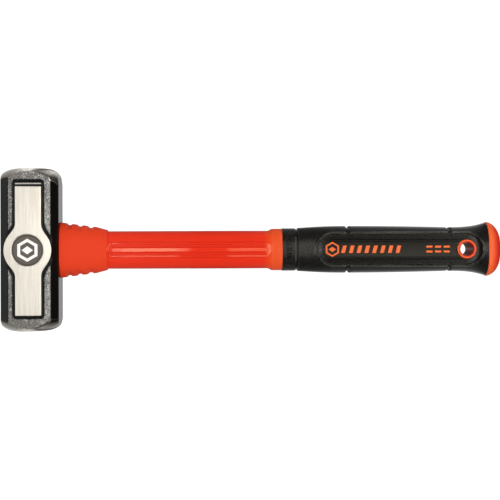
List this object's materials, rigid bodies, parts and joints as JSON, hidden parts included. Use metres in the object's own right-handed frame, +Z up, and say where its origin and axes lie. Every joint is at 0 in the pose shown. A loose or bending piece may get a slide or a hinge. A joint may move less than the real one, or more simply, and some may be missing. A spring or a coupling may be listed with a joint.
{
  "type": "sledgehammer",
  "caption": "Short double-faced sledgehammer: chamfered steel head, oval fibreglass handle with ribbed guard, soft grip and lanyard hole.",
  "frame": {"origin": "on the handle's centre line, level with the flat top of the head, which the hammer stands on", "axes": "+Z up the handle from head to butt, X along the striking axis, Y through the cheeks; the side described as front faces -Y"},
  "size_m": [0.1146, 0.038, 0.3493],
  "materials": {
    "head_steel": "gloss black paint over forged steel, with bare milled strips and polished bevels",
    "badge_steel": "dark etched disc",
    "eye_resin": "cast epoxy",
    "fibreglass": "pulled glass fibre rod, cut end",
    "jacket_plastic": "glossy orange-red polypropylene",
    "guard_rubber": "matt fine-grained orange elastomer",
    "grip_rubber": "leather-grained black elastomer",
    "panel_plastic": "fine-grained black",
    "mark_plastic": "satin orange inlay",
    "bush_plastic": "orange moulded tube",
    "cap_plastic": "satin orange-red dome"
  },
  "bodies": {
    "root": {"hammer_head": "head_steel", "cheek_badge_front": "badge_steel", "cheek_badge_back": "badge_steel", "eye_epoxy": "eye_resin", "fiberglass_core": "fibreglass", "shaft_jacket": "jacket_plastic", "overstrike_guard": "guard_rubber", "grip_collar": "grip_rubber", "grip_sleeve": "grip_rubber", "grip_panel_front": "panel_plastic", "grip_panel_back": "panel_plastic", "grip_emblem_front": "mark_plastic", "grip_emblem_back": "mark_plastic", "grip_bars_front": "mark_plastic", "grip_bars_back": "mark_plastic", "grip_ticks_front": "mark_plastic", "grip_ticks_back": "mark_plastic", "lanyard_bush": "bush_plastic", "end_cap": "cap_plastic"}
  },
  "joints": []
}
